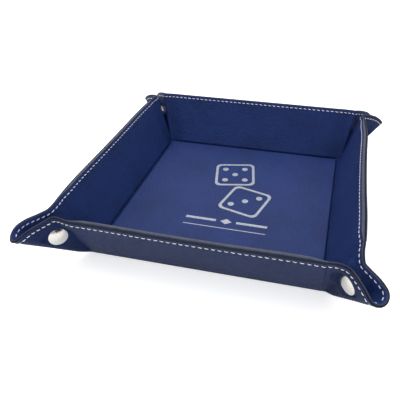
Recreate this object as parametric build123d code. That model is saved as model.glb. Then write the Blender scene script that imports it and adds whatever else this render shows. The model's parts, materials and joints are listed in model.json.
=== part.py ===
from build123d import *
import math
import os

# Folding dice tray: two sheets of leatherette stitched together round their edge, with a stiff board
# sealed in the floor and in each of the four walls. The sheet folds along four lines round the floor.
# Each corner of the sheet is pinched into a double flap that stands out along the tray's diagonal,
# and a press snap through the flap holds the two walls up. Unsnapped, the tray folds out flat.
#
# The origin is the middle of the underside, +Z is up, -Y is the front. All lengths are millimetres.

os.makedirs("parts", exist_ok=True)

# Sheet
flat_side = 228.6              # side of the square sheet when it lies flat
fold_to_fold = 146.0           # between opposite fold lines
corner_radius = 22.0           # round corners of the flat sheet
wall_angle = 66.0              # walls above the horizontal when the corners are snapped

# Layers
skin = 0.9                     # each leatherette sheet
floor_board = 1.8              # stiffener in the floor
wall_board = 1.2               # stiffener in each wall

# Stiffener places; next to the fold lines, the boards stand back by the skin that is pressed over them
wall_board_rim_inset = 1.4     # wall board's upper edge to the rim
wall_board_end_inset = 3.0     # wall board's ends to the ends of the fold line
board_corner_radius = 1.5

# Press snaps, the common size with a 12.5 mm cap
cap_diameter = 12.5
cap_edge = 0.7                 # rolled edge of the cap, before its dome
cap_height = 1.9
socket_diameter = 11.0
socket_height = 2.5
socket_back = 0.5              # metal between the socket's bore and the skin
stud_flange_diameter = 9.5
stud_flange = 1.0
stud_diameter = 4.6
post_head_diameter = 9.0
post_head = 0.8
post_diameter = 3.2
snap_reach = 24.7              # fold line to the snap's centre
snap_side = 11.9               # end of the fold line to the snap's centre

# Stitching
stitch_inset = 3.0             # rim to the middle of the stitch line
stitch_width = 0.8
stitch_proud = 0.3

# Clearances
fold_gap = 0.2                 # between a skin's edge and its fold line
pad_gap = 0.3                  # between padded edges and the plane that halves the folded corner
snap_gap = 0.3                 # between the closed snap's two halves
stud_side_gap = 0.9            # stud to its socket's bore, so that it can tilt out as a corner opens
stud_end_gap = 0.5             # stud's end to the bottom of the bore
seam_gap = 0.35                # between a flap half and the diagonal plane when flat
hinge_gap = 1.2                # between a wall's skin and its flap's skin, measured along the rim
flap_start = 9.0               # reach at which a flap's skins begin
pinch_side = 5.6               # where a wall ends and its flap begins, at the rim

# Derived places
half_fold = fold_to_fold / 2
wall_height = flat_side / 2 - half_fold
fold_height = skin
pad_top = wall_board + skin
lean = math.radians(wall_angle)
half_lean = math.tan(lean / 2)
floor_pad_inset = (floor_board + skin) * half_lean + pad_gap
floor_skin_inset = skin * half_lean + fold_gap
wall_pad_start = pad_top * half_lean + pad_gap
wall_skin_start = skin * half_lean + fold_gap
floor_board_inset = floor_pad_inset + skin
wall_board_start = wall_pad_start + skin
wall_pad_end_inset = wall_board_end_inset - skin
inner_face = (socket_height + stud_flange + snap_gap) / 2
flap_offset = inner_face + skin
crease_angle = math.degrees(math.atan(math.cos(lean)))
flap_angle = math.degrees(math.acos(math.sin(lean) / math.sqrt(2)))
crease_foot = half_fold - flap_offset * math.sqrt(2)
crease_at_start = crease_foot + flap_start * math.tan(math.radians(crease_angle))
snap_x = half_fold + snap_side
socket_bore = stud_diameter + 2 * stud_side_gap
stud_height = socket_height - socket_back + snap_gap - stud_end_gap

# Walls are drawn flat: X along the fold line, Y from the fold line to the rim, Z towards the inside.
turns = {"back_wall": 0, "left_wall": 90, "front_wall": 180, "right_wall": 270}
left_right_ends = {
    "back_wall": ("left", "right"),
    "left_wall": ("front", "back"),
    "front_wall": ("right", "left"),
    "right_wall": ("back", "front"),
}


def place_wall(shape, wall):
    """Fold a flat-drawn wall piece up and turn it to its side of the tray."""
    lifted = Rot(wall_angle, 0, 0) * shape
    return Pos(0, 0, fold_height) * Rot(0, 0, turns[wall]) * Pos(0, half_fold, 0) * lifted


def place_flap(shape, wall, end):
    """Fold a flat-drawn right-hand flap piece on its crease, mirror it if needed, and place it."""
    crease = Axis(
        (crease_foot, 0, 0),
        (math.sin(math.radians(crease_angle)), math.cos(math.radians(crease_angle)), 0),
    )
    folded = shape.rotate(crease, flap_angle)
    if end == 0:
        folded = folded.mirror(Plane.YZ)
    return place_wall(folded, wall)


def slab(face, low, high):
    """A face drawn at Z 0, made solid from low to high."""
    return extrude(Pos(0, 0, low) * face, high - low)


def rectangle(x0, x1, y0, y1):
    return Pos((x0 + x1) / 2, (y0 + y1) / 2) * Rectangle(x1 - x0, y1 - y0)


def polygon(points):
    return make_face(Polyline(*points, close=True))


def save(shapes, name):
    solids = shapes if isinstance(shapes, list) else [shapes]
    pieces = []
    for solid in solids:
        pieces += solid.solids()
    node = pieces[0] if len(pieces) == 1 else Compound(children=pieces)
    node.label = name
    export_step(node, f"parts/{name}.step")


# The flat sheet, and the regions that the walls and flaps take from it
sheet = Pos(0, -half_fold) * RectangleRounded(flat_side, flat_side, corner_radius)
stitch_outer = stitch_inset - stitch_width / 2
stitch_inner = stitch_inset + stitch_width / 2
stitch_ring = Pos(0, -half_fold) * (
    RectangleRounded(flat_side - 2 * stitch_outer, flat_side - 2 * stitch_outer, corner_radius - stitch_outer)
    - RectangleRounded(flat_side - 2 * stitch_inner, flat_side - 2 * stitch_inner, corner_radius - stitch_inner)
)


def wall_region(start):
    """The wall's skin, from start above the fold line to the rim, between its two flaps."""
    foot = half_fold - wall_pad_end_inset / 2
    low = crease_at_start - hinge_gap
    high = half_fold + pinch_side - hinge_gap
    right = [(foot, start), (low, flap_start), (high, wall_height)]
    left = [(-x, y) for x, y in reversed(right)]
    return polygon(right + left)


def flap_region():
    """The right-hand flap half: from its wall to the tray's diagonal, inside the sheet's outline."""
    diagonal = half_fold - seam_gap * math.sqrt(2)
    beyond = wall_height + skin
    corner = polygon([
        (crease_at_start, flap_start),
        (half_fold + pinch_side, wall_height),
        (half_fold + pinch_side, beyond),
        (diagonal + beyond, beyond),
        (diagonal + flap_start, flap_start),
    ])
    return corner & sheet


# Floor
floor_foot = 2 * (half_fold - fold_gap)
floor_outer = extrude(RectangleRounded(floor_foot, floor_foot, board_corner_radius), skin)
board_size = 2 * (half_fold - floor_board_inset)
floor_core = extrude(RectangleRounded(board_size, board_size, board_corner_radius), floor_board)
floor_skin_size = 2 * (half_fold - floor_skin_inset)
floor_pad_size = 2 * (half_fold - floor_pad_inset)
floor_flange = extrude(RectangleRounded(floor_skin_size, floor_skin_size, board_corner_radius), skin)
floor_pad = extrude(RectangleRounded(floor_pad_size, floor_pad_size, board_corner_radius), floor_board + skin)
floor_inner = Pos(0, 0, fold_height) * (floor_flange + floor_pad - floor_core)
save(floor_outer, "base_outer_skin")
save(Pos(0, 0, fold_height) * floor_core, "base_board")
save(floor_inner, "base_inner_skin")

# Walls, drawn once
board_face = rectangle(
    -half_fold + wall_board_end_inset,
    half_fold - wall_board_end_inset,
    wall_board_start,
    wall_height - wall_board_rim_inset,
)
pad_face = rectangle(
    -half_fold + wall_pad_end_inset,
    half_fold - wall_pad_end_inset,
    wall_pad_start,
    wall_height,
)
wall_core = slab(board_face, 0, wall_board)
wall_outer = slab(wall_region(fold_gap), -skin, 0)
wall_flange = slab(wall_region(wall_skin_start), 0, skin)
wall_inner = wall_flange + slab(pad_face, 0, pad_top) - wall_core
wall_line = wall_region(wall_skin_start) & stitch_ring
wall_stitches = [
    slab(wall_line, -skin - stitch_proud, -skin),
    slab(wall_line & pad_face, pad_top, pad_top + stitch_proud),
    slab(wall_line - pad_face, skin, skin + stitch_proud),
]

# Flap halves, drawn once as the right-hand end of a wall
snap_place = Pos(snap_x, snap_reach, 0)
post_hole = snap_place * slab(Circle(post_diameter / 2), -skin, skin)
flap_outer = slab(flap_region(), -skin, 0) - post_hole
flap_inner = slab(flap_region(), 0, skin) - post_hole
flap_line = flap_region() & stitch_ring
flap_stitches = [
    slab(flap_line, -skin - stitch_proud, -skin),
    slab(flap_line, skin, skin + stitch_proud),
]

# Snap pieces, drawn round Z at the snap's centre with the inside of the tray towards +Z
dome_rise = cap_height - cap_edge
cap_radius = cap_diameter / 2
dome_radius = (cap_radius ** 2 + dome_rise ** 2) / (2 * dome_rise)
dome = Pos(0, 0, -skin - cap_height + dome_radius) * Sphere(dome_radius)
cap_body = slab(Circle(cap_radius), -skin - cap_height, -skin)
cap_dome = cap_body & dome
cap_post = slab(Circle(post_diameter / 2), -skin, skin + socket_back)
snap_cap = cap_dome + cap_post

socket_body = slab(Circle(socket_diameter / 2), skin, skin + socket_height)
socket_cavity = slab(Circle(socket_bore / 2), skin + socket_back, skin + socket_height)
snap_socket = socket_body - socket_cavity - cap_post

stud_base = slab(Circle(stud_flange_diameter / 2), skin, skin + stud_flange)
stud_tip = slab(Circle(stud_diameter / 2), skin + stud_flange, skin + stud_flange + stud_height)
stud_end = stud_tip.faces().sort_by(Axis.Z)[-1]
stud_tip = fillet(stud_end.edges(), stud_diameter / 5)
stud_post_hole = slab(Circle(post_diameter / 2), skin, skin + stud_flange)
snap_stud = stud_base - stud_post_hole + stud_tip

post_head_plate = slab(Circle(post_head_diameter / 2), -skin - post_head, -skin)
snap_post = post_head_plate + slab(Circle(post_diameter / 2), -skin, skin + stud_flange)

for wall in turns:
    save(place_wall(wall_outer, wall), f"{wall}_outer_skin")
    save(place_wall(wall_core, wall), f"{wall}_board")
    save(place_wall(wall_inner, wall), f"{wall}_inner_skin")
    save([place_wall(piece, wall) for piece in wall_stitches], f"{wall}_stitching")
    for end in (0, 1):
        flap = f"{wall}_{left_right_ends[wall][end]}_flap"
        save(place_flap(flap_outer, wall, end), f"{flap}_outer_skin")
        save(place_flap(flap_inner, wall, end), f"{flap}_inner_skin")
        save([place_flap(piece, wall, end) for piece in flap_stitches], f"{flap}_stitching")

# Front and back flaps carry caps and sockets; left and right flaps carry studs and their posts
for wall in ("front_wall", "back_wall"):
    for end in (0, 1):
        corner = f"{wall.split('_')[0]}_{left_right_ends[wall][end]}"
        save(place_flap(snap_place * snap_cap, wall, end), f"{corner}_snap_cap")
        save(place_flap(snap_place * snap_socket, wall, end), f"{corner}_snap_socket")
for wall in ("left_wall", "right_wall"):
    for end in (0, 1):
        corner = f"{left_right_ends[wall][end]}_{wall.split('_')[0]}"
        save(place_flap(snap_place * snap_stud, wall, end), f"{corner}_snap_stud")
        save(place_flap(snap_place * snap_post, wall, end), f"{corner}_snap_post")
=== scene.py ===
import json
import math

import bpy
import numpy as np
from mathutils import Matrix, Vector


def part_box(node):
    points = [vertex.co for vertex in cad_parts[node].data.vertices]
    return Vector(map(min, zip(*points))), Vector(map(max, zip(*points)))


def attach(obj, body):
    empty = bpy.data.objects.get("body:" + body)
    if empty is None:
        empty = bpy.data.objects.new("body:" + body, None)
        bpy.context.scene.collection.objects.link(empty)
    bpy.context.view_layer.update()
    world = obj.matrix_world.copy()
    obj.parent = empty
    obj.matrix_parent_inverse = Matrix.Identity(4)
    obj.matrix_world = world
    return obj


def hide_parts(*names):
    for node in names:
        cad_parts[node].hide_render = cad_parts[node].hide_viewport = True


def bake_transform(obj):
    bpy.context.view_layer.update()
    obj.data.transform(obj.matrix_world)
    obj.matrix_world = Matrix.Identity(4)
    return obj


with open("model.json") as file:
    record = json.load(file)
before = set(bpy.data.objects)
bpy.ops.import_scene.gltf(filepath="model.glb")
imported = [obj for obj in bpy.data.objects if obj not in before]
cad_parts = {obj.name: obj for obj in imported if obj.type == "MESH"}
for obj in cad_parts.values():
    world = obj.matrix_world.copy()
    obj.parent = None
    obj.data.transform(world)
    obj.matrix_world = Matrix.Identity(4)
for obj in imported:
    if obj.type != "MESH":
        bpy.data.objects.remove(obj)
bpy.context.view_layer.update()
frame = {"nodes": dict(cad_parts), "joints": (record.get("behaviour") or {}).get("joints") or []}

MM = 0.001
joints = {joint["name"]: joint for joint in frame["joints"]}

# ---------------------------------------------------------------- sizes, in mm
WALL_ANGLE = math.radians(66)       # a wall's slope above the floor
COS_W = math.cos(WALL_ANGLE)
SIN_W = math.sin(WALL_ANGLE)
HALF = joints["back_wall_fold"]["pos_m"][1] / MM      # fold line from the centre
FOLD_Z = joints["back_wall_fold"]["pos_m"][2] / MM    # height of the two sheets' joint
SKIN = FOLD_Z                       # one sheet's thickness
SPLIT = 0.05                        # half the hairline between the two sheets
WALL_PAD = 1.2                      # how far a wall board lifts the inner sheet
OUT_PAD = 0.45                      # how far it shows through the outer sheet
FLOOR_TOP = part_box("base_inner_skin")[1].z / MM
REACH = (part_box("back_wall_inner_skin")[1].z / MM - FOLD_Z
         - (SKIN + WALL_PAD) * COS_W) / SIN_W         # fold line to the rim
CORNER_R = 22.0                     # the cut sheet's corner
FOLD_RUN = 2.5                      # the fold's bend, each side of the fold line
END_X = HALF - 2.0                  # where a wall piece hands over to its flaps
START_U = END_X - HALF              # the same place, measured from the corner's vertex
PAD_END = 70.9                      # the board's swelling ends here along the fold
PAD_START = 1.0                     # and starts here above the fold line
PAD_RISE = 1.3                      # how long its short ramps are
END_EASE = 9.0                      # and the long ramp under the inner sheet's ends
RIM_PAD = 0.85                      # depth of the rounded rim, over a board
RIM_THIN = 0.35                     # and where the sheets are alone
LEAN_START = 40.0                   # a wall's ends start to lean in here
LIFT = 0.05                         # nothing bent reaches lower than this

STITCH_INSET = 2.8
STITCH_PITCH = 3.6
FLAP_PITCH = 3.1
STITCH_END = 0.965                  # the flap stitches stop short of the seam
STITCH_SHARE = 0.70                 # of a pitch that shows as thread
THREAD_R = 0.25

# The corner's folded leather runs from the wall's end to a pinch, on to a turn
# and round it to the seam, which lies in the corner's diagonal plane.
CURVE_STEPS = 160
PINCH_AT = 0.36                     # where the pinch comes, as a share of the way
TURN_AT = 0.82                      # and where the turn starts
FIRST_SPAN = 0.29                   # the first stretch's length, for its slopes
FALL_START, FALL_END = 0.65, 0.45   # how steeply the first stretch falls at its ends
CLOSE_START = 0.95                  # how fast the two halves close up
SEAM_SHIFT = (1.1, -0.7)            # the seam's offset outward and upward
SHIFT_RUN = 8.0                     # reached this far from the vertex
SNAP_OFFSET = 2.8                   # a half's distance from the plane at the snap
SNAP_FLAT = 6.6                     # round the snap the halves are parallel
SNAP_EASE = 11.0                    # and here they are free again
GAP_BEFORE = 0.075                  # how the halves part on the way to the snap
# A half's distance from the plane at the snap's radius, how it grows past that,
# and its steepest growth from the vertex.
PINCH_GAP = (2.5, 0.12, 0.18)
TURN_GAP = (2.9, 0.14, 0.28)

# Each wall's bow outward at the middle of its rim, and its lean inward at the
# rim's two ends.
SHAPE = {"front": (1.2, -0.8, -0.8), "left": (-1.8, 3.0, 3.4),
         "back": (0.6, 1.2, 1.2), "right": (-2.0, 3.6, 1.6)}
# Each corner's elevation at the pinch and at the seam, in degrees, and the share
# by which its leather stands short at the two.
EARS = {("front", "left"): (63.0, 35.4, 0.03, 0.00),
        ("front", "right"): (60.5, 34.4, 0.10, 0.095),
        ("back", "left"): (69.0, 35.2, 0.00, 0.06),
        ("back", "right"): (68.5, 35.2, 0.00, 0.09)}

# Each wall's turn from the one at +Y, and its two ends, from -X to +X before it.
WALLS = {
    "back": (0, ("left", "right")),
    "left": (90, ("front", "back")),
    "front": (180, ("right", "left")),
    "right": (270, ("back", "front")),
}

DIAG = np.array((1.0, 1.0, 0.0)) / math.sqrt(2)
ACROSS = np.array((-1.0, 1.0, 0.0)) / math.sqrt(2)
UP = np.array((0.0, 0.0, 1.0))
CORNER = np.array((HALF, HALF, FOLD_Z))


def smoothstep(x):
    x = np.clip(x, 0, 1)
    return x * x * (3 - 2 * x)


def quarter(x):
    """Rises from 0 to 1 as a quarter circle."""
    x = np.clip(x, 0, 1)
    return np.sqrt(1 - (1 - x) ** 2)


# ---------------------------------------------------------------- the surfaces
def lean(x, v, shape):
    """How far a wall's surface stands in from its plane."""
    bow, low_end, high_end = shape
    ends = np.clip((np.abs(x) - LEAN_START) / (END_X - LEAN_START), 0, 1) ** 2
    middle = np.clip(1 - (x / HALF) ** 2, 0, 1)
    at_end = np.where(x < 0, low_end, high_end)
    return (at_end * ends - bow * middle) * np.clip(v / REACH, 0, 1)


def wall_point(x, v, n, shape):
    """A point of the wall at +Y: x along the fold, v up from it, n inward."""
    a = smoothstep((v + FOLD_RUN) / (2 * FOLD_RUN)) * WALL_ANGLE
    off = n + lean(x, v, shape)
    return np.stack((x + 0 * v,
                     HALF + v * np.cos(a) - off * np.sin(a),
                     FOLD_Z + v * np.sin(a) + off * np.cos(a)), -1)


def hermite(p0, p1, m0, m1, s):
    """A smooth curve from p0 to p1 with slopes m0 and m1 at its ends."""
    s2, s3 = s * s, s * s * s
    return ((2 * s3 - 3 * s2 + 1) * p0 + (s3 - 2 * s2 + s) * m0
            + (3 * s2 - 2 * s3) * p1 + (s3 - s2) * m1)


def ear_shape(side, end):
    """(the wall's lean there, then the corner's own numbers) of one half."""
    which = WALLS[side][1].index(end)
    corner = (side, end) if side in ("front", "back") else (end, side)
    return (SHAPE[side][1 + which], *EARS[corner])


def half_gap(r, at_snap, beyond, near_vertex):
    """A half's distance from the diagonal plane, at flat distance r."""
    past = r - SNAP_R
    gap = at_snap + np.where(past > 0, beyond, GAP_BEFORE) * past
    return np.minimum(gap, near_vertex * r)


def corner_curve(r, ear):
    """Points of the folded corner at flat distance r from its vertex, from the
    wall's end (0) to the seam (1), and how far along the leather each one is."""
    inward_lean, pinch_deg, seam_deg, short_pinch, short_seam = ear
    pinch_el, seam_el = math.radians(pinch_deg), math.radians(seam_deg)
    tau = np.linspace(0, 1, CURVE_STEPS)[None, :]
    r = np.asarray(r, float)[:, None]
    start = wall_point(np.full_like(r, HALF), r, 0.0,
                       (0, inward_lean, inward_lean))[:, 0, :] - CORNER
    d0, b0, z0 = start @ DIAG, start @ ACROSS, start @ UP
    d0, b0, z0 = d0[:, None], b0[:, None], z0[:, None]
    e0 = np.arctan2(z0, d0)
    b_pinch = half_gap(r, *PINCH_GAP)
    b_turn = half_gap(r, *TURN_GAP)
    turn = b_turn / np.maximum(r, 1e-6)
    e_turn = seam_el + turn
    s1 = np.clip(tau / PINCH_AT, 0, 1)
    s2 = np.clip((tau - PINCH_AT) / (TURN_AT - PINCH_AT), 0, 1)
    s3 = np.clip((tau - TURN_AT) / (1 - TURN_AT), 0, 1) * math.pi / 2
    slope = e_turn - pinch_el
    fall = hermite(e0, pinch_el, -FALL_START * FIRST_SPAN, slope * FALL_END, s1)
    e = np.where(tau < PINCH_AT, fall,
                 np.where(tau < TURN_AT, hermite(pinch_el, e_turn, slope, slope, s2),
                          e_turn - turn * np.sin(s3)))
    close = hermite(b0, b_pinch, -CLOSE_START * r * FIRST_SPAN, 0 * r, s1)
    b = np.where(tau < PINCH_AT, close,
                 np.where(tau < TURN_AT, hermite(b_pinch, b_turn, 0 * r, 0 * r, s2),
                          b_turn * np.cos(s3)))
    # the snap holds the two halves parallel round its centre
    away = np.hypot(r * np.cos(e) - SNAP_D, r * np.sin(e) - SNAP_Z)
    hold = 1 - smoothstep((away - SNAP_FLAT) / (SNAP_EASE - SNAP_FLAT))
    hold = hold * (tau < TURN_AT)
    b = b * (1 - hold) + SNAP_OFFSET * hold
    stand = r * (1 - short_pinch * smoothstep(tau / PINCH_AT)
                 - (short_seam - short_pinch) * smoothstep((tau - PINCH_AT) / (1 - PINCH_AT)))
    flat = np.sqrt(np.maximum(stand ** 2 - b * b, 0))
    shift = smoothstep(tau) * np.clip(r / SHIFT_RUN, 0, 1)
    d = flat * np.cos(e) + SEAM_SHIFT[0] * shift
    z = flat * np.sin(e) + SEAM_SHIFT[1] * shift
    p = CORNER + d[..., None] * DIAG + b[..., None] * ACROSS + z[..., None] * UP
    step = np.linalg.norm(np.diff(p, axis=1), axis=2)
    length = np.concatenate((np.zeros((len(p), 1)), np.cumsum(step, 1)), 1)
    return p, length / np.maximum(length[:, -1:], 1e-9)


def corner_point(u, v, ear):
    """The middle of the leather at flat (u, v) from the corner's vertex, in the
    half that hangs on the wall at +Y: u along the fold, v up from it."""
    dims = u.shape
    u, v = u.ravel(), v.ravel()
    r = np.maximum(np.hypot(u, v), 1e-4)
    share = np.arctan2(u, v) / (math.pi / 4)
    p, s = corner_curve(r, ear)
    q = np.clip(share, 0, 1)
    k = np.clip((s < q[:, None]).sum(1), 1, CURVE_STEPS - 1)
    i = np.arange(len(q))
    lo, hi = s[i, k - 1], s[i, k]
    w = ((q - lo) / np.maximum(hi - lo, 1e-9))[:, None]
    out = p[i, k - 1] * (1 - w) + p[i, k] * w
    flat = wall_point(HALF + u, v, 0.0, (0, ear[0], ear[0]))
    out = np.where((share <= 0)[:, None], flat, out)
    return out.reshape(*dims, 3)


NORMAL_STEP = 0.15


def corner_normal(u, v, ear):
    """The unit normal there, towards the inner sheet."""
    r = np.maximum(np.hypot(u, v), 1e-4)
    a = np.arctan2(u, v)
    turn = NORMAL_STEP / np.maximum(r, 1.0)
    a_lo, a_hi = a - turn, np.minimum(a + turn, math.pi / 4)
    along = (corner_point(r * np.sin(a_hi), r * np.cos(a_hi), ear)
             - corner_point(r * np.sin(a_lo), r * np.cos(a_lo), ear))
    r_lo, r_hi = np.maximum(r - NORMAL_STEP, 0.2), r + NORMAL_STEP
    out = (corner_point(r_hi * np.sin(a), r_hi * np.cos(a), ear)
           - corner_point(r_lo * np.sin(a), r_lo * np.cos(a), ear))
    n = np.cross(along, out)
    seam = a > math.pi / 4 - 1e-6
    n[seam] -= (n[seam] @ ACROSS)[..., None] * ACROSS
    return n / np.maximum(np.linalg.norm(n, axis=-1, keepdims=True), 1e-12)


snap_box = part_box("back_right_snap_socket")
snap_mid = np.array((snap_box[0] + snap_box[1]) / 2) / MM - CORNER
SNAP_D = float(snap_mid @ DIAG)
SNAP_Z = float(snap_mid @ UP)
SNAP_R = math.hypot(SNAP_D, SNAP_Z)


# ---------------------------------------------------------------- placing
def place(points, turn, mirror):
    """From the wall at +Y (its +X end) to a wall's own place, in metres."""
    p = np.array(points, float)
    if mirror:
        p[..., 0] = -p[..., 0]
    a = math.radians(turn)
    c, s = math.cos(a), math.sin(a)
    x, y = p[..., 0] * c - p[..., 1] * s, p[..., 0] * s + p[..., 1] * c
    return np.stack((x, y, p[..., 2]), -1) * MM


def make_object(name, verts, faces, materials, face_material=None, uv=None,
                sharp=40.0, rim_highlight=None):
    """uv and the painted rim highlight are one entry per vertex."""
    mesh = bpy.data.meshes.new(name)
    mesh.from_pydata([tuple(v) for v in verts], [], faces)
    for material in materials:
        mesh.materials.append(material)
    if face_material is not None:
        mesh.polygons.foreach_set("material_index", face_material)
    mesh.polygons.foreach_set("use_smooth", [True] * len(mesh.polygons))
    if uv is not None:
        layer = mesh.uv_layers.new(name="flat")
        loops = np.zeros(len(mesh.loops), np.int32)
        mesh.loops.foreach_get("vertex_index", loops)
        layer.data.foreach_set("uv", np.asarray(uv, np.float32)[loops].ravel())
    if rim_highlight is not None:
        attribute = mesh.attributes.new("rim_highlight", "FLOAT", "POINT")
        attribute.data.foreach_set("value", np.asarray(rim_highlight, np.float32))
    mesh.set_sharp_from_angle(angle=math.radians(sharp))
    mesh.validate()
    obj = bpy.data.objects.new(name, mesh)
    bpy.context.scene.collection.objects.link(obj)
    return obj


UV_SCALE = 0.004                    # one unit of the uv map is 250 mm of leather


def ring_shell(name, rows, uv_rows, rim_highlight_rows, edge_rows, mirror, materials):
    """A closed sheet from rows of points: the face from the fold to the rim,
    round the rim, and the hidden back again. Row k pairs with row -1-k. The
    rows in edge_rows get the second material."""
    count, cols = len(rows), rows[0].shape[0]
    verts = np.concatenate(rows)
    verts[:, 2] = np.maximum(verts[:, 2], LIFT * MM)
    uv = np.concatenate(uv_rows) * UV_SCALE + 0.5
    rim_highlight = np.concatenate(rim_highlight_rows)
    faces, index = [], []

    def quad(a, b, c, d, m):
        faces.append((a, d, c, b) if mirror else (a, b, c, d))
        index.append(m)

    for k in range(count):
        nxt = (k + 1) % count
        for j in range(cols - 1):
            quad(k * cols + j, k * cols + j + 1, nxt * cols + j + 1, nxt * cols + j,
                 1 if k in edge_rows else 0)
    half = count // 2
    for k in range(half - 1):
        a, b = k, k + 1
        c, d = count - 2 - k, count - 1 - k
        quad(a * cols, b * cols, c * cols, d * cols, 0)
        e = cols - 1
        quad(a * cols + e, d * cols + e, c * cols + e, b * cols + e, 0)
    return make_object(name, verts, faces, materials, index, uv, rim_highlight=rim_highlight)


def rim_profile(steps):
    """(depth, height) of the rounded rim, from the face (1) to the back (-1)."""
    out = []
    for k in range(1, steps):
        phi = math.pi / 2 - math.pi * k / steps
        c, s = math.cos(phi), math.sin(phi)
        out.append((abs(c) ** 0.85, math.copysign(abs(s) ** 0.85, s)))
    return out


RIM_STEPS = 11


def wall_pad(x, outer):
    """1 over the board, easing out at its ends, softly under the inner sheet."""
    if outer:
        return quarter((PAD_END - np.abs(x)) / PAD_RISE)
    return smoothstep((PAD_END - np.abs(x)) / END_EASE)


def sheet_sides(x_pad, v, outer):
    """(face, back) heights of one sheet on the sheets' joint plane."""
    rise = x_pad * quarter((v - PAD_START) / PAD_RISE)
    if outer:
        return -(SKIN + OUT_PAD * rise), np.full_like(rise, -SPLIT)
    return SKIN + WALL_PAD * rise, np.full_like(rise, SPLIT)


# Where a wall's rows lie: close together at its ends and over the fold.
END_COLUMNS = np.array((0, .1, .4, .75, 1.1, 1.6, 2.2, 2.9, 3.8, 5.0))
FOLD_ROWS = (-1.7, -1.2, -.7, -.25, .2, .6, .92, 1.0, 1.04, 1.15, 1.35, 1.6,
             1.95, 2.35, 3.0, 4.2, 6.0)
FIRST_OUTER_ROW, FIRST_INNER_ROW = -3.0, -2.2


def wall_shell(side, outer, materials, edge_rows_of):
    """One sheet of one wall, from under the fold to the rim."""
    turn = WALLS[side][0]
    shape = SHAPE[side]
    x = np.concatenate((-END_X + END_COLUMNS, np.linspace(-END_X + 8, END_X - 8, 45),
                        (END_X - END_COLUMNS)[::-1]))
    v_low = (FIRST_OUTER_ROW if outer else FIRST_INNER_ROW, *FOLD_ROWS)
    pad = wall_pad(x, outer)
    rim = RIM_THIN + (RIM_PAD - RIM_THIN) * pad
    if outer:
        rim = np.full_like(x, RIM_THIN)
    v_rows = [np.full_like(x, v) for v in v_low]
    for s in np.linspace(0, 1, 17)[1:]:
        v_rows.append(v_low[-1] + (REACH - rim - v_low[-1]) * s)
    rows, uvs, rim_highlights = [], [], []

    def add(v, n, uv_v, rim_highlight):
        rows.append(place(wall_point(x, v, n, shape), turn, False))
        uvs.append(np.stack((x, HALF + uv_v), -1))
        rim_highlights.append(np.clip(rim_highlight + 0 * x, 0, 1))

    # The face's rows beside the rim get the painted highlight.
    for v in v_rows:
        face, back = sheet_sides(pad, v, outer)
        add(v, face, v, painted_rim_highlight(v))
    top = len(rows)
    face, back = sheet_sides(pad, REACH + 0 * x, outer)
    mid, half = (face + back) / 2, (face - back) / 2
    for depth, height in rim_profile(RIM_STEPS):
        add(REACH - rim + rim * depth, mid + half * height,
            REACH + rim * depth + (1 - height) * np.abs(half), 1.0)
    bottom = len(rows)
    for v in v_rows[::-1]:
        face, back = sheet_sides(pad, v, outer)
        add(v, back, v + 2, 0.0)
    if outer:
        # the face looks the other way, so the order of the columns turns round
        rows = [r[::-1] for r in rows]
        uvs = [r[::-1] for r in uvs]
        rim_highlights = [r[::-1] for r in rim_highlights]
    edges = edge_rows_of(top, bottom)
    kind = "outer" if outer else "inner"
    return ring_shell(f"{side}_wall_{kind}_leather", rows, uvs, rim_highlights, edges, False, materials)


# How far from the rim the painted highlight reaches, in mm.
RIM_HIGHLIGHT_RUN = 1.6


def painted_rim_highlight(v):
    """Paler leather beside the rim: a painted highlight."""
    return np.clip(1 - (REACH - v) / RIM_HIGHLIGHT_RUN, 0, 1) ** 2


def rim_path(inset, cols):
    """Flat points and outward normals of the line at inset from the rim, from
    the wall's end to the diagonal."""
    straight = REACH - CORNER_R - START_U
    radius = CORNER_R - inset
    arc = radius * math.pi / 4
    s = cols * (straight + arc)
    on_arc = s > straight
    a = np.clip((s - straight) / radius, 0, math.pi / 4)
    u = np.where(on_arc, REACH - CORNER_R + radius * np.sin(a), START_U + s)
    v = np.where(on_arc, REACH - CORNER_R + radius * np.cos(a), REACH - inset)
    nu, nv = np.where(on_arc, np.sin(a), 0.0), np.where(on_arc, np.cos(a), 1.0)
    return u, v, nu, nv


FLAP_COLS = 84
FLAP_ROWS = (0.0, 0.02, 0.045, 0.075, 0.11, 0.145, *np.linspace(0.18, 1, 30))


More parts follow.
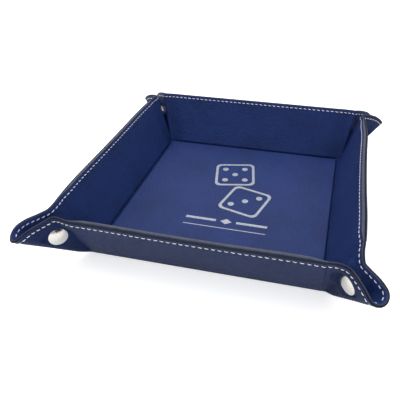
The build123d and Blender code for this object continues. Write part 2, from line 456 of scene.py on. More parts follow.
def flap_shell(side, end, outer, materials, edge_rows_of):
    """One sheet of one flap half, from the wall's end to the seam."""
    turn, ends = WALLS[side]
    mirror = ends[0] == end
    t = np.linspace(0, 1, FLAP_COLS)
    eu, ev, nu, nv = rim_path(0.0, t)
    su, sv = START_U * (1 - t) ** 1.5, FIRST_INNER_ROW * (1 - t) ** 1.5
    ear = ear_shape(side, end)
    iu, iv = eu - nu * RIM_THIN, ev - nv * RIM_THIN
    rows, uvs, rim_highlights = [], [], []

    def add(u, v, n, extra, rim_highlight):
        p = (corner_point(u, v, ear)
             + corner_normal(u, v, ear) * np.reshape(n, (-1, 1)))
        rows.append(place(p, turn, mirror))
        uvs.append(np.stack(((HALF + u) * (-1 if mirror else 1), HALF + v + extra), -1))
        rim_highlights.append(np.clip(rim_highlight + 0 * u, 0, 1))

    face = -SKIN if outer else SKIN
    back = -SPLIT if outer else SPLIT
    lines = [(su + (iu - su) * q, sv + (iv - sv) * q) for q in FLAP_ROWS]
    for u, v in lines:
        # The rows beside the rim get the painted highlight.
        near_rim = np.clip(1 - np.hypot(iu - u, iv - v) / RIM_HIGHLIGHT_RUN, 0, 1) ** 2
        add(u, v, np.full_like(u, face), 0, near_rim)
    top = len(rows)
    mid, half = (face + back) / 2, (face - back) / 2
    for depth, height in rim_profile(RIM_STEPS):
        add(iu + nu * RIM_THIN * depth, iv + nv * RIM_THIN * depth,
            np.full_like(iu, mid + half * height), (1 - height) * abs(half), 1.0)
    bottom = len(rows)
    for u, v in lines[::-1]:
        add(u, v, np.full_like(u, back), 2, 0.0)
    if outer:
        rows = [r[::-1] for r in rows]
        uvs = [r[::-1] for r in uvs]
        rim_highlights = [r[::-1] for r in rim_highlights]
    kind = "outer" if outer else "inner"
    return ring_shell(f"{side}_wall_{end}_flap_{kind}_leather", rows, uvs, rim_highlights,
                      edge_rows_of(top, bottom), mirror, materials)


def inner_edges(top, bottom):
    """The rows of a sheet that show its painted edge."""
    return set(range(top, bottom))


def outer_edges(top, bottom):
    """The same on the outer sheet, one row further, so the dark painted shadow line under the
    rim laps onto its face.
    """
    return set(range(top - 1, bottom))


# ---------------------------------------------------------------- stitching
STATIONS = 9
SIDES = 8
CROWN, DIVE = 0.20, 0.42            # a stitch's height at its middle, and its fall
TAPER = 0.72                        # how its ends thin, into the needle holes
SLANT = 0.16                        # stitches sit a little askew, all the same way
PLY = 0.10                          # the twisted thread's lobes


def stitches(name, point_of, normal_of, usual, face, turn, mirror, material):
    """A row of thread stitches along a line of the sheet. point_of(q) and
    normal_of(q) give the leather's face and its outward normal there."""
    q = np.linspace(0, 1, 900)
    p = point_of(q)
    run = np.concatenate(((0,), np.cumsum(np.linalg.norm(np.diff(p, axis=0), axis=1))))
    total = run[-1]
    count = max(1, round(total / usual))
    pitch = total / count
    along = np.linspace(-1, 1, STATIONS)
    sink = CROWN - DIVE * np.abs(along) ** 2.6
    radius = THREAD_R * np.sqrt(1 - TAPER * np.abs(along) ** 4)
    slant = along * SLANT
    verts, faces, uv = [], [], []
    for k in range(count):
        s = along * pitch * STITCH_SHARE / 2
        qs = np.interp((k + 0.5) * pitch + s, run, q)
        centre, normal = point_of(qs), normal_of(qs)
        tangent = np.gradient(centre, axis=0)
        tangent /= np.linalg.norm(tangent, axis=1, keepdims=True)
        side = np.cross(tangent, normal)
        side /= np.linalg.norm(side, axis=1, keepdims=True)
        base = len(verts)
        for i in range(STATIONS):
            for m in range(SIDES):
                a = 2 * math.pi * m / SIDES
                lobe = 1 + PLY * math.cos(2 * (a + i * 1.1))
                up = sink[i] + radius[i] * lobe * math.sin(a) * 0.85
                across = slant[i] + radius[i] * lobe * math.cos(a) * 1.1
                verts.append(centre[i] + normal[i] * up + side[i] * across)
                uv.append((i / STATIONS + k, m / SIDES))
        for i in range(STATIONS - 1):
            for m in range(SIDES):
                a, b = base + i * SIDES + m, base + i * SIDES + (m + 1) % SIDES
                faces.append((a, b, b + SIDES, a + SIDES))
        last = base + (STATIONS - 1) * SIDES
        faces.append(tuple(base + m for m in range(SIDES))[::-1])
        faces.append(tuple(last + m for m in range(SIDES)))
    if mirror == (face < 0):
        faces = [f[::-1] for f in faces]
    return make_object(name, place(np.array(verts), turn, mirror), faces, [material],
                       uv=np.array(uv), sharp=60)


def wall_stitches(side, face, material):
    """Stitches along a wall, on its inner (face 1) or outer (-1) side."""
    turn = WALLS[side][0]
    shape = SHAPE[side]

    def at(q, extra):
        x = -END_X + 2 * END_X * q
        v = np.full_like(x, REACH - STITCH_INSET)
        n = sheet_sides(wall_pad(x, face < 0), v, face < 0)[0]
        return wall_point(x, v, n + extra, shape)

    def normal(q):
        d = at(q, face * 0.1) - at(q, 0.0)
        return d / np.linalg.norm(d, axis=1, keepdims=True)

    kind = "inner" if face > 0 else "outer"
    return stitches(f"{side}_wall_{kind}_thread", lambda q: at(q, 0.0), normal, STITCH_PITCH,
                    face, turn, False, material)


def flap_stitches(side, end, face, material):
    """The same row on round one flap half, as far as the seam."""
    turn, ends = WALLS[side]
    mirror = ends[0] == end
    ear = ear_shape(side, end)

    def point(q):
        u, v, _, _ = rim_path(STITCH_INSET, q * STITCH_END)
        return (corner_point(u, v, ear)
                + corner_normal(u, v, ear) * face * SKIN)

    def normal(q):
        u, v, _, _ = rim_path(STITCH_INSET, q * STITCH_END)
        return corner_normal(u, v, ear) * face

    kind = "inner" if face > 0 else "outer"
    return stitches(f"{side}_wall_{end}_flap_{kind}_thread", point, normal, FLAP_PITCH,
                    face, turn, mirror, material)


# ---------------------------------------------------------------- materials
def node_material(name):
    material = bpy.data.materials.new(name)
    material.use_nodes = True
    nodes, links = material.node_tree.nodes, material.node_tree.links
    return material, nodes, links, nodes["Principled BSDF"]


def ramp(nodes, stops):
    """A colour ramp of (position, colour) stops."""
    node = nodes.new("ShaderNodeValToRGB")
    node.color_ramp.elements[0].position = stops[0][0]
    node.color_ramp.elements[0].color = (*stops[0][1], 1)
    node.color_ramp.elements[1].position = stops[-1][0]
    node.color_ramp.elements[1].color = (*stops[-1][1], 1)
    for at, colour in stops[1:-1]:
        node.color_ramp.elements.new(at).color = (*colour, 1)
    return node


def leather(name, dark, base, pale, roughness, specular, grain=1.0):
    """Pebbled leatherette: fine cells, soft mottling, and paler grain tops beside the rim as a
    painted highlight.
    """
    material, nodes, links, shader = node_material(name)
    uv = nodes.new("ShaderNodeUVMap")
    uv.uv_map = "flat"
    scale = nodes.new("ShaderNodeVectorMath")
    scale.operation = "SCALE"
    scale.inputs["Scale"].default_value = 1 / UV_SCALE
    links.new(uv.outputs["UV"], scale.inputs[0])
    where = scale.outputs["Vector"]

    cells = nodes.new("ShaderNodeTexVoronoi")
    cells.feature = "DISTANCE_TO_EDGE"
    cells.inputs["Scale"].default_value = 0.95
    cells.inputs["Randomness"].default_value = 1.0
    wobble = nodes.new("ShaderNodeTexNoise")
    wobble.inputs["Scale"].default_value = 0.9
    wobble.inputs["Detail"].default_value = 3
    mixv = nodes.new("ShaderNodeVectorMath")
    mixv.operation = "ADD"
    links.new(where, wobble.inputs["Vector"])
    links.new(where, mixv.inputs[0])
    links.new(wobble.outputs["Color"], mixv.inputs[1])
    links.new(mixv.outputs["Vector"], cells.inputs["Vector"])
    cell_ramp = ramp(nodes, ((0.0, (0, 0, 0)), (0.22, (1, 1, 1))))
    links.new(cells.outputs["Distance"], cell_ramp.inputs["Fac"])

    creases = nodes.new("ShaderNodeTexNoise")
    creases.inputs["Scale"].default_value = 0.33
    creases.inputs["Detail"].default_value = 5
    creases.inputs["Roughness"].default_value = 0.62
    links.new(where, creases.inputs["Vector"])
    broad = nodes.new("ShaderNodeTexNoise")
    broad.inputs["Scale"].default_value = 0.035
    broad.inputs["Detail"].default_value = 3
    links.new(where, broad.inputs["Vector"])

    height = nodes.new("ShaderNodeMath")
    height.operation = "MULTIPLY_ADD"
    height.inputs[1].default_value = 0.75
    links.new(creases.outputs["Fac"], height.inputs[0])
    links.new(cell_ramp.outputs["Color"], height.inputs[2])
    bump = nodes.new("ShaderNodeBump")
    bump.inputs["Strength"].default_value = 0.7
    bump.inputs["Distance"].default_value = 0.0002 * grain
    links.new(height.outputs["Value"], bump.inputs["Height"])
    links.new(bump.outputs["Normal"], shader.inputs["Normal"])

    tone = nodes.new("ShaderNodeMath")
    tone.operation = "MULTIPLY_ADD"
    tone.inputs[1].default_value = 0.45
    links.new(creases.outputs["Fac"], tone.inputs[0])
    half = nodes.new("ShaderNodeMath")
    half.operation = "MULTIPLY"
    half.inputs[1].default_value = 0.55
    links.new(broad.outputs["Fac"], half.inputs[0])
    links.new(half.outputs["Value"], tone.inputs[2])
    colours = ramp(nodes, ((0.3, dark), (0.5, base), (0.72, tuple(c * 1.25 for c in base))))
    links.new(tone.outputs["Value"], colours.inputs["Fac"])

    # Painted highlight: the grain's tops paler beside the rim.
    rim_highlight = nodes.new("ShaderNodeAttribute")
    rim_highlight.attribute_name = "rim_highlight"
    highlight_on_cells = nodes.new("ShaderNodeMath")
    highlight_on_cells.operation = "MULTIPLY"
    links.new(rim_highlight.outputs["Fac"], highlight_on_cells.inputs[0])
    links.new(cell_ramp.outputs["Color"], highlight_on_cells.inputs[1])
    less = nodes.new("ShaderNodeMath")
    less.operation = "MULTIPLY"
    less.inputs[1].default_value = 0.6
    links.new(highlight_on_cells.outputs["Value"], less.inputs[0])
    mix = nodes.new("ShaderNodeMix")
    mix.data_type = "RGBA"
    mix.inputs["B"].default_value = (*pale, 1)
    links.new(less.outputs["Value"], mix.inputs["Factor"])
    links.new(colours.outputs["Color"], mix.inputs["A"])
    links.new(mix.outputs["Result"], shader.inputs["Base Color"])

    rough = nodes.new("ShaderNodeMapRange")
    rough.inputs["From Min"].default_value = 0.3
    rough.inputs["From Max"].default_value = 0.7
    rough.inputs["To Min"].default_value = roughness - 0.07
    rough.inputs["To Max"].default_value = roughness + 0.07
    links.new(creases.outputs["Fac"], rough.inputs["Value"])
    links.new(rough.outputs["Result"], shader.inputs["Roughness"])
    shader.inputs["Specular IOR Level"].default_value = specular
    return material


def edge_paint(name, base, pale, specular):
    """The cut edge's smooth painted band, scuffed paler here and there."""
    material, nodes, links, shader = node_material(name)
    uv = nodes.new("ShaderNodeUVMap")
    uv.uv_map = "flat"
    scale = nodes.new("ShaderNodeVectorMath")
    scale.operation = "SCALE"
    scale.inputs["Scale"].default_value = 1 / UV_SCALE
    links.new(uv.outputs["UV"], scale.inputs[0])
    scuff = nodes.new("ShaderNodeTexNoise")
    scuff.inputs["Scale"].default_value = 0.35
    scuff.inputs["Detail"].default_value = 6
    scuff.inputs["Roughness"].default_value = 0.7
    links.new(scale.outputs["Vector"], scuff.inputs["Vector"])
    colours = ramp(nodes, ((0.35, base), (0.7, pale)))
    links.new(scuff.outputs["Fac"], colours.inputs["Fac"])
    links.new(colours.outputs["Color"], shader.inputs["Base Color"])
    bump = nodes.new("ShaderNodeBump")
    bump.inputs["Strength"].default_value = 0.3
    bump.inputs["Distance"].default_value = 0.00008
    links.new(scuff.outputs["Fac"], bump.inputs["Height"])
    links.new(bump.outputs["Normal"], shader.inputs["Normal"])
    shader.inputs["Roughness"].default_value = 0.45
    shader.inputs["Specular IOR Level"].default_value = specular
    return material


def thread_material():
    """Twisted off-white thread: slanting plies, with their valleys darkened as painted shade."""
    material, nodes, links, shader = node_material("thread")
    uv = nodes.new("ShaderNodeUVMap")
    uv.uv_map = "flat"
    ply = nodes.new("ShaderNodeTexWave")
    ply.wave_type = "BANDS"
    ply.bands_direction = "DIAGONAL"
    ply.inputs["Scale"].default_value = 1.6
    ply.inputs["Distortion"].default_value = 0.6
    links.new(uv.outputs["UV"], ply.inputs["Vector"])
    # Darker in the plies' valleys: painted shade.
    colours = ramp(nodes, ((0.1, (0.60, 0.60, 0.65)), (0.6, (0.86, 0.86, 0.92))))
    links.new(ply.outputs["Fac"], colours.inputs["Fac"])
    links.new(colours.outputs["Color"], shader.inputs["Base Color"])
    bump = nodes.new("ShaderNodeBump")
    bump.inputs["Strength"].default_value = 0.6
    bump.inputs["Distance"].default_value = 0.00012
    links.new(ply.outputs["Fac"], bump.inputs["Height"])
    links.new(bump.outputs["Normal"], shader.inputs["Normal"])
    shader.inputs["Roughness"].default_value = 0.75
    shader.inputs["Sheen Weight"].default_value = 0.3
    shader.inputs["Specular IOR Level"].default_value = 0.3
    return material


def metal_material(name, base, roughness):
    """Plated metal with faint handling marks."""
    material, nodes, links, shader = node_material(name)
    where = nodes.new("ShaderNodeTexCoord")
    marks = nodes.new("ShaderNodeTexNoise")
    marks.inputs["Scale"].default_value = 900
    marks.inputs["Detail"].default_value = 4
    links.new(where.outputs["Object"], marks.inputs["Vector"])
    rough = nodes.new("ShaderNodeMapRange")
    rough.inputs["To Min"].default_value = roughness - 0.05
    rough.inputs["To Max"].default_value = roughness + 0.08
    links.new(marks.outputs["Fac"], rough.inputs["Value"])
    links.new(rough.outputs["Result"], shader.inputs["Roughness"])
    shade = ramp(nodes, ((0.3, tuple(c * 0.9 for c in base)), (0.7, base)))
    links.new(marks.outputs["Fac"], shade.inputs["Fac"])
    links.new(shade.outputs["Color"], shader.inputs["Base Color"])
    shader.inputs["Metallic"].default_value = 1.0
    return material


inner_leather = leather("inner_leather", (0.004, 0.015, 0.080), (0.008, 0.027, 0.132),
                        (0.05, 0.07, 0.14), 0.50, 0.24, 2.2)
# The floor's leather: the walls' leatherette with its darker tones lifted a little, a painted
# reflection.
floor_leather = leather("floor_leather", (0.006, 0.018, 0.092), (0.010, 0.027, 0.130),
                        (0.05, 0.07, 0.16), 0.50, 0.28)
outer_leather = leather("outer_leather", (0.004, 0.010, 0.044), (0.006, 0.015, 0.062),
                        (0.04, 0.05, 0.09), 0.52, 0.09, 1.3)
# One edge paint in lit and shaded copies. The inner sheet's rim is partly the paint's own paler
# grey and partly a painted highlight on its rounded edge. The flaps' thin rims get less of that
# painted highlight. The outer sheet's near-black edge is a painted shadow line under the rim.
lit_inner_edge = edge_paint("lit_inner_edge", (0.030, 0.038, 0.072), (0.056, 0.066, 0.104), 0.35)
flap_edge = edge_paint("flap_edge", (0.018, 0.025, 0.054), (0.038, 0.046, 0.080), 0.28)
shaded_outer_edge = edge_paint("shaded_outer_edge", (0.003, 0.006, 0.020), (0.008, 0.012, 0.034), 0.14)
thread = thread_material()
nickel = metal_material("nickel", (0.57, 0.56, 0.53), 0.18)


# ---------------------------------------------------------------- the floor
def rounded_square(x, y, half, radius):
    """Distance inside a rounded square's edge."""
    qx, qy = np.abs(x) - (half - radius), np.abs(y) - (half - radius)
    beyond = np.hypot(np.maximum(qx, 0), np.maximum(qy, 0))
    return radius - beyond - np.minimum(np.maximum(qx, qy), 0)


def slab(name, face_at, back_z, lines, material, flip):
    """A square closed sheet: face_at(x, y) gives its face's height."""
    x, y = np.meshgrid(lines, lines, indexing="ij")
    n = len(lines)
    face, back = face_at(x, y), np.full_like(x, back_z)
    verts = np.concatenate((np.stack((x, y, face), -1).reshape(-1, 3),
                            np.stack((x, y, back), -1).reshape(-1, 3))) * MM
    faces = []
    for i in range(n - 1):
        for j in range(n - 1):
            a, b = i * n + j, (i + 1) * n + j
            faces.append((a, b, b + 1, a + 1))
            faces.append(tuple(n * n + q for q in (a, a + 1, b + 1, b)))
    for k in range(n - 1):
        for a, b in (((k + 1) * n, k * n), (k * n + n - 1, (k + 1) * n + n - 1),
                     (k, k + 1), ((n - 1) * n + k + 1, (n - 1) * n + k)):
            faces.append((a, b, n * n + b, n * n + a))
    if flip:
        faces = [f[::-1] for f in faces]
    uv = np.concatenate((np.stack((x, y), -1).reshape(-1, 2),) * 2) * UV_SCALE + 0.5
    # The slab gets no painted rim highlight.
    rim_highlight = np.zeros(len(verts))
    return make_object(name, verts, faces, [material], uv=uv, rim_highlight=rim_highlight, sharp=50)


FLOOR_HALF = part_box("base_board")[1].x / MM + SKIN - 0.3
FLOOR_R = 2.4                       # the panel's corners
FLOOR_RIM = 1.3                     # the run of its rounded edge
FLOOR_SKIRT = 0.55                  # height of the leather beside the panel
FLOOR_BACK = 0.471                  # height of the hidden back of the same leather
BASE_HALF = 73.3                    # the sheet under the floor
BASE_LOW, BASE_HIGH = 0.1, 0.4


def floor_face(x, y):
    inside = rounded_square(x, y, FLOOR_HALF, FLOOR_R)
    return FLOOR_SKIRT + (FLOOR_TOP - FLOOR_SKIRT) * quarter(inside / FLOOR_RIM)


def base_face(x, y):
    return BASE_LOW + 0 * x


skirt_lines = np.array((72.6, 71.6))
rim_lines = FLOOR_HALF - np.array((0, .05, .16, .35, .65, 1.0, 1.35, 1.9, 2.8, 4.5))
floor_lines = np.concatenate((skirt_lines, rim_lines))
floor_lines = np.concatenate((-floor_lines, np.linspace(-62, 62, 32), floor_lines[::-1]))
floor = slab("floor_leather_panel", floor_face, FLOOR_BACK, floor_lines, floor_leather, False)
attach(floor, "base")
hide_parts("base_inner_skin", "base_board")

under = slab("base_outer_leather", base_face, BASE_HIGH,
             np.linspace(-BASE_HALF, BASE_HALF, 24), outer_leather, True)
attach(under, "base")
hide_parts("base_outer_skin")


# ---------------------------------------------------------------- walls and flaps
def turned(vector, turn, mirror):
    """A point or a way of the wall at +Y, at a wall's own place."""
    return Vector(place(np.array(vector, float), turn, mirror))


half_angle = WALL_ANGLE / 2
fold_mid = np.array((0, HALF, FOLD_Z))
fold_way = np.array((0, math.cos(half_angle), math.sin(half_angle)))
BLEND_HALF = FOLD_RUN * math.cos(half_angle)
inward = np.array((0, -SIN_W, COS_W))


def crease(side, end):
    """A flap's fold: a point on it, in mm, and its axis."""
    joint = joints[f"{side}_wall_{end}_flap_fold"]
    return np.array(joint["pos_m"]) / MM, np.array(joint["axis"])


# How far before a flap's fold and how far after it, along the mean of the ways in which the
# wall's and the flap's planes leave the fold. The two points below are worked out from these and
# not used.
FLAP_BLEND_BEFORE = 9.0
FLAP_BLEND_AFTER = 1.0

for side, (turn, ends) in WALLS.items():
    wall = f"{side}_wall"
    start = turned(fold_mid - fold_way * BLEND_HALF, turn, False)
    stop = turned(fold_mid + fold_way * BLEND_HALF, turn, False)
    inner = wall_shell(side, False, [inner_leather, lit_inner_edge], inner_edges)
    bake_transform(inner)
    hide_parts(f"{wall}_inner_skin", f"{wall}_board")
    outer = wall_shell(side, True, [outer_leather, shaded_outer_edge], outer_edges)
    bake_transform(outer)
    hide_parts(f"{wall}_outer_skin")
    for face in (1, -1):
        row = wall_stitches(side, face, thread)
        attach(row, wall)
        if face > 0:
            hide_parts(f"{wall}_stitching")

    for end in ends:
        mirror = ends[0] == end
        flap = f"{wall}_{end}_flap"
        at, axis = crease(side, end)
        wall_normal = np.array(turned(inward, turn, mirror)) / MM
        seam_normal = np.array(turned(ACROSS, turn, mirror)) / MM
        on_wall = np.cross(axis, wall_normal)
        on_wall *= np.sign(on_wall @ (np.array(turned((1, 0, 0), turn, mirror)) / MM))
        on_flap = np.cross(axis, seam_normal)
        on_flap *= -np.sign(on_flap[2])
        way = on_wall / np.linalg.norm(on_wall) + on_flap / np.linalg.norm(on_flap)
        way /= np.linalg.norm(way)
        start = Vector((at - way * FLAP_BLEND_BEFORE) * MM)
        stop = Vector((at + way * FLAP_BLEND_AFTER) * MM)
        inner = flap_shell(side, end, False, [inner_leather, flap_edge], inner_edges)
        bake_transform(inner)
        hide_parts(f"{flap}_inner_skin")
        outer = flap_shell(side, end, True, [outer_leather, shaded_outer_edge], outer_edges)
        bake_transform(outer)
        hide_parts(f"{flap}_outer_skin")
        for face in (1, -1):
            row = flap_stitches(side, end, face, thread)
            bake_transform(row)
            if face > 0:
                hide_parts(f"{flap}_stitching")


# ---------------------------------------------------------------- snaps
def lathe(name, profile, centre, axis, material, steps=72):
    """Turns (radius, height) points, in mm, round an axis. The first and the
    last point lie on it."""
    axis = np.array(axis, float)
    side = np.cross(axis, UP)
    side /= np.linalg.norm(side)
    other = np.cross(axis, side)
    verts, faces = [], []
    inner = profile[1:-1]
    for radius, height in inner:
        for k in range(steps):
            a = 2 * math.pi * k / steps
            verts.append(centre + axis * height
                         + radius * (math.cos(a) * side + math.sin(a) * other))
    for i in range(len(inner) - 1):
        for k in range(steps):
            n = (k + 1) % steps
            faces.append((i * steps + k, (i + 1) * steps + k, (i + 1) * steps + n,
                          i * steps + n))
    first, last = len(verts), len(verts) + 1
    verts.append(centre + axis * profile[0][1])
    verts.append(centre + axis * profile[-1][1])
    top = (len(inner) - 1) * steps
    for k in range(steps):
        n = (k + 1) % steps
        faces.append((first, k, n))
        faces.append((last, top + n, top + k))
    return make_object(name, np.array(verts) * MM, faces, [material], sharp=50)


CAP_R = 6.25
CAP_H = 1.9
CAP_RIM = 0.5


def dome(radius, height, rim, steps=14):
    """A domed cap with a rolled rim, from its crown down to its foot."""
    out = [(0.0, height)]
    crown = radius - rim
    sag = height - rim
    ball = (crown ** 2 + sag ** 2) / (2 * sag)
    for k in range(1, steps + 1):
        r = crown * k / steps
        out.append((r, height - ball + math.sqrt(ball * ball - r * r)))
    edge_h = out[-1][1]
    for k in range(1, 9):
        a = math.pi * k / 9
        out.append((radius - rim / 2 + math.sin(a) * rim / 2,
                    edge_h / 2 + math.cos(a) * edge_h / 2))
    out.append((radius - rim, 0.0))
    out.append((0.0, 0.0))
    return out


for front_back, far in (("front", -1), ("back", 1)):
    for left_right, across in (("left", -1), ("right", 1)):
        corner = f"{front_back}_{left_right}"
        # The cap is on the front or back wall's half, the post's head opposite.
        way = np.array((-across, far, 0.0)) / math.sqrt(2)
        low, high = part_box(f"{corner}_snap_cap")
        centre = np.array((low + high) / 2) / MM
        cap = lathe(f"{corner}_domed_cap", dome(CAP_R, CAP_H, CAP_RIM),
                    centre - way * CAP_H / 2, way, nickel)
        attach(cap, f"{front_back}_wall_{left_right}_flap")
        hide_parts(f"{corner}_snap_cap")
        for part in ("socket", "stud", "post"):
            node = frame["nodes"][f"{corner}_snap_{part}"]
            node.data.materials.clear()
            node.data.materials.append(nickel)


# ---------------------------------------------------------------- the emblem
# A generic print: two dice faces, one above the other, over a broken rule with a
# lozenge in its middle and a thin rule under it.
PRINT_Z = FLOOR_TOP + 0.03
PRINT_THICK = 0.05
DIE_HALF = 15.0
RULE_END, RULE_GAP, RULE_HALF = 28, 7, 1.1
THIN_LOW, THIN_HIGH = -7.6, -6.9


def band(points, width):
    """A loop of points, and a smaller one that leaves a band of the given width."""
    loop = np.array(points, float)
    mid = loop.mean(0)
    size = np.abs(loop - mid).max()
    return loop, mid + (loop - mid) * (1 - width / size)


def rounded_loop(half, radius, steps=8):
    out = []
    for k, (sx, sy) in enumerate(((1, 1), (-1, 1), (-1, -1), (1, -1))):
        for i in range(steps + 1):
            a = math.pi / 2 * (k + i / steps)
            out.append((sx * (half - radius) + radius * math.cos(a),
                        sy * (half - radius) + radius * math.sin(a)))
    return out


def disc(x, y, radius, steps=24):
    return [(x + radius * math.cos(2 * math.pi * k / steps),
             y + radius * math.sin(2 * math.pi * k / steps)) for k in range(steps)]


def flat_print(name, bands, fills, centre, angle, material):
    """Thin raised ink: bands are (outer, inner) loops, fills single loops."""
    c, s = math.cos(angle), math.sin(angle)
    verts, faces = [], []

    def put(x, y, z):
        verts.append(((centre[0] + x * c - y * s) * MM, (centre[1] + x * s + y * c) * MM,
                      z * MM))
        return len(verts) - 1

    low, high = PRINT_Z - PRINT_THICK, PRINT_Z
    for outer_loop, inner_loop in bands:
        n = len(outer_loop)
        rings = [[put(x, y, z) for x, y in loop] for loop, z in (
            (outer_loop, low), (outer_loop, high), (inner_loop, high), (inner_loop, low))]
        for k in range(n):
            m = (k + 1) % n
            for a in range(4):
                b = (a + 1) % 4
                faces.append((rings[a][k], rings[a][m], rings[b][m], rings[b][k]))
    for loop in fills:
        bottom = [put(x, y, low) for x, y in loop]
        top = [put(x, y, high) for x, y in loop]
        faces.append(tuple(top))
        faces.append(tuple(bottom[::-1]))
        for k in range(len(loop)):
            m = (k + 1) % len(loop)
            faces.append((bottom[k], bottom[m], top[m], top[k]))
    return make_object(name, verts, faces, [material], sharp=30)


def die(name, half, pips, centre, angle, material):
    """The outline of a die's face, with round pips."""
    step = half * 0.5
    bands = [band(rounded_loop(half, half * 0.28), half * 0.13)]
    fills = [disc(x * step, y * step, half * 0.15) for x, y in pips]
    piece = flat_print(name, bands, fills, centre, angle, material)
    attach(piece, "base")


def ink_material():
    """Pale silver print, a little mottled by the grain under it."""
    material, nodes, links, shader = node_material("silver_print")
    where = nodes.new("ShaderNodeTexCoord")
    mottle = nodes.new("ShaderNodeTexNoise")
    mottle.inputs["Scale"].default_value = 700
    mottle.inputs["Detail"].default_value = 3
    links.new(where.outputs["Object"], mottle.inputs["Vector"])
    colours = ramp(nodes, ((0.3, (0.26, 0.29, 0.34)), (0.7, (0.38, 0.40, 0.45))))
    links.new(mottle.outputs["Fac"], colours.inputs["Fac"])
    links.new(colours.outputs["Color"], shader.inputs["Base Color"])
    shader.inputs["Roughness"].default_value = 0.42
    shader.inputs["Metallic"].default_value = 0.25
    return material


silver_print = ink_material()
five = ((-1, -1), (1, -1), (0, 0), (-1, 1), (1, 1))
three = ((-1, -1), (0, 0), (1, 1))
die("print_die_five", DIE_HALF, five, (-4.5, 29.0), math.radians(12), silver_print)
die("print_die_three", DIE_HALF, three, (10.5, -3.5), math.radians(-15), silver_print)
lozenge = [(4.0, 0), (0, 2.8), (-4.0, 0), (0, -2.8)]


def bar(x0, x1, y0, y1):
    return [(x0, y0), (x1, y0), (x1, y1), (x0, y1)]


rules = [bar(-RULE_END, -RULE_GAP, -RULE_HALF, RULE_HALF),
         bar(RULE_GAP, RULE_END, -RULE_HALF, RULE_HALF),
         bar(-RULE_END, RULE_END, THIN_LOW, THIN_HIGH)]
rule = flat_print("print_rule", [], [lozenge, *rules], (3.0, -29.0), 0.0, silver_print)
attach(rule, "base")


# ---------------------------------------------------------------- the studio
def area_light(name, at, towards, size, power):
    light = bpy.data.lights.new(name, "AREA")
    light.shape = "RECTANGLE"
    light.size, light.size_y = size
    light.energy = power
    obj = bpy.data.objects.new(name, light)
    obj.location = at
    obj.rotation_mode = "QUATERNION"
    obj.rotation_quaternion = (Vector(towards) - Vector(at)).to_track_quat("-Z", "Y")
    bpy.context.scene.collection.objects.link(obj)


world = bpy.data.worlds.new("studio")
world.use_nodes = True
sky = world.node_tree.nodes
looking = sky.new("ShaderNodeTexCoord")
axes = sky.new("ShaderNodeSeparateXYZ")
world.node_tree.links.new(looking.outputs["Generated"], axes.inputs["Vector"])
# A studio's walls are dimmer than its ceiling lights.
shade = ramp(sky, ((0.0, (0.30, 0.30, 0.31)), (0.18, (0.42, 0.42, 0.43)), (0.42, (1, 1, 1)),
                   (1.0, (1, 1, 1))))
world.node_tree.links.new(axes.outputs["Z"], shade.inputs["Fac"])
# The camera itself sees plain white behind the floor's edge.
seen = sky.new("ShaderNodeLightPath")
backdrop = sky.new("ShaderNodeMix")
backdrop.data_type = "RGBA"
backdrop.inputs["B"].default_value = (1, 1, 1, 1)
world.node_tree.links.new(seen.outputs["Is Camera Ray"], backdrop.inputs["Factor"])
world.node_tree.links.new(shade.outputs["Color"], backdrop.inputs["A"])
world.node_tree.links.new(backdrop.outputs["Result"], sky["Background"].inputs["Color"])
sky["Background"].inputs["Strength"].default_value = 1.05
bpy.context.scene.world = world
bpy.context.scene.view_settings.view_transform = "Standard"
area_light("top_softbox", (-0.25, 0.25, 0.95), (0, 0, 0), (0.9, 0.9), 5.0)
area_light("front_fill", (0.3, -0.95, 0.55), (0, 0, 0.02), (0.9, 0.6), 2.0)

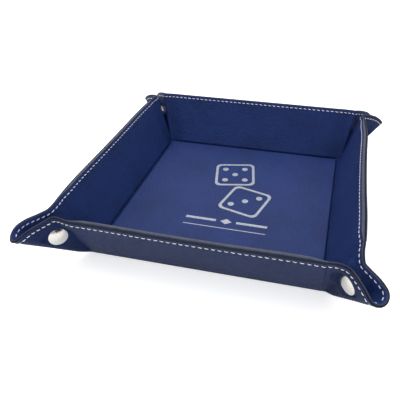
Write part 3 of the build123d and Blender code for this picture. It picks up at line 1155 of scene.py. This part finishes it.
GROUND_HALF = 3.0
ground_mesh = bpy.data.meshes.new("ground")
ground_mesh.from_pydata([(-GROUND_HALF, -GROUND_HALF, 0), (GROUND_HALF, -GROUND_HALF, 0),
                         (GROUND_HALF, GROUND_HALF, 0), (-GROUND_HALF, GROUND_HALF, 0)],
                        [], [(0, 1, 2, 3)])
ground = bpy.data.objects.new("ground", ground_mesh)
bpy.context.scene.collection.objects.link(ground)
ground.location.z = -0.00005
ground_material, _, _, ground_shader = node_material("ground")
ground_shader.inputs["Base Color"].default_value = (0.93, 0.93, 0.93, 1)
ground_shader.inputs["Roughness"].default_value = 0.9
ground_shader.inputs["Specular IOR Level"].default_value = 0.0
ground_shader.inputs["Emission Color"].default_value = (1, 1, 1, 1)
ground_shader.inputs["Emission Strength"].default_value = 0.45
ground_mesh.materials.append(ground_material)

# Two black flags that only reflections see, for the dark streaks in the metal.
flag_material, _, _, flag_shader = node_material("flag")
flag_shader.inputs["Base Color"].default_value = (0.004, 0.004, 0.004, 1)
flag_shader.inputs["Specular IOR Level"].default_value = 0.0
for name, x, y0, y1, top in (("left_flag", -0.30, -0.45, 0.15, 0.30),
                             ("right_flag", 0.34, -0.60, 0.10, 0.34)):
    flag_mesh = bpy.data.meshes.new(name)
    flag_mesh.from_pydata([(x, y0, 0), (x, y1, 0), (x, y1, top), (x, y0, top)], [],
                          [(0, 1, 2, 3)])
    flag_mesh.materials.append(flag_material)
    flag = bpy.data.objects.new(name, flag_mesh)
    bpy.context.scene.collection.objects.link(flag)
    flag.visible_camera = False
    flag.visible_shadow = False
    flag.visible_diffuse = False

# The camera, with lens and sensor in mm and its shift as a share of the picture.
AZ, EL, ROLL = math.radians(14.25), math.radians(35.89), math.radians(-0.70)
DISTANCE = 326.2
TARGET = np.array((0.38, -3.1, 3.75))
SENSOR = 36.0
LENS = 40.95
SHIFT = (-0.0784, -0.0028)
backward = np.array((math.sin(AZ) * math.cos(EL), -math.cos(AZ) * math.cos(EL), math.sin(EL)))
eye = (TARGET + backward * DISTANCE) * MM
level = np.cross(-backward, UP)
level /= np.linalg.norm(level)
upward = np.cross(level, -backward)
right = level * math.cos(ROLL) + upward * math.sin(ROLL)
top = -level * math.sin(ROLL) + upward * math.cos(ROLL)
camera_data = bpy.data.cameras.new("camera")
camera_data.sensor_width = SENSOR
camera_data.lens = LENS
camera_data.shift_x, camera_data.shift_y = SHIFT
camera = bpy.data.objects.new("camera", camera_data)
matrix = Matrix.Identity(4)
for row in range(3):
    matrix[row][:] = right[row], top[row], backward[row], eye[row]
camera.matrix_world = matrix
bpy.context.scene.collection.objects.link(camera)
bpy.context.scene.camera = camera
